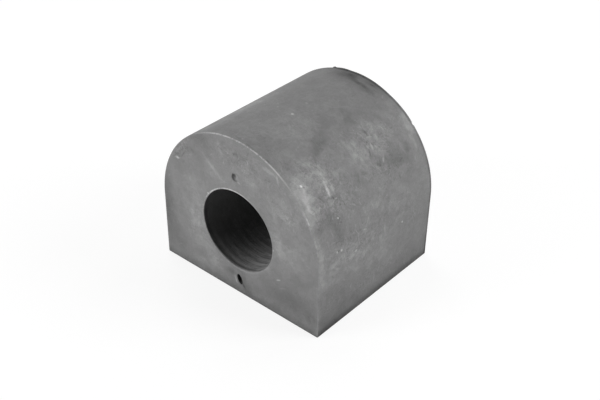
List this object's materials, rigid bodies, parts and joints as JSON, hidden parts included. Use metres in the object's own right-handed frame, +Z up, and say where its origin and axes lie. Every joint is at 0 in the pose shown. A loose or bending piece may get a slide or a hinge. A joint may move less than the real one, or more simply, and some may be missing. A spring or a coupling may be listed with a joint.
{
  "type": "sway bar bushing",
  "caption": "D-shaped moulded rubber block with a half-round crown, a flat base and a round bore that holds a sway bar in its bracket.",
  "frame": {"origin": "middle of the flat base, on the surface that the bushing stands on", "axes": "+X across the block, +Y along the bore from the front end face to the back one, +Z up from the flat base to the crown"},
  "size_m": [0.07, 0.0604, 0.061],
  "materials": {
    "grey_rubber": "matte"
  },
  "bodies": {
    "root": {"bushing_block": "grey_rubber"}
  },
  "joints": []
}
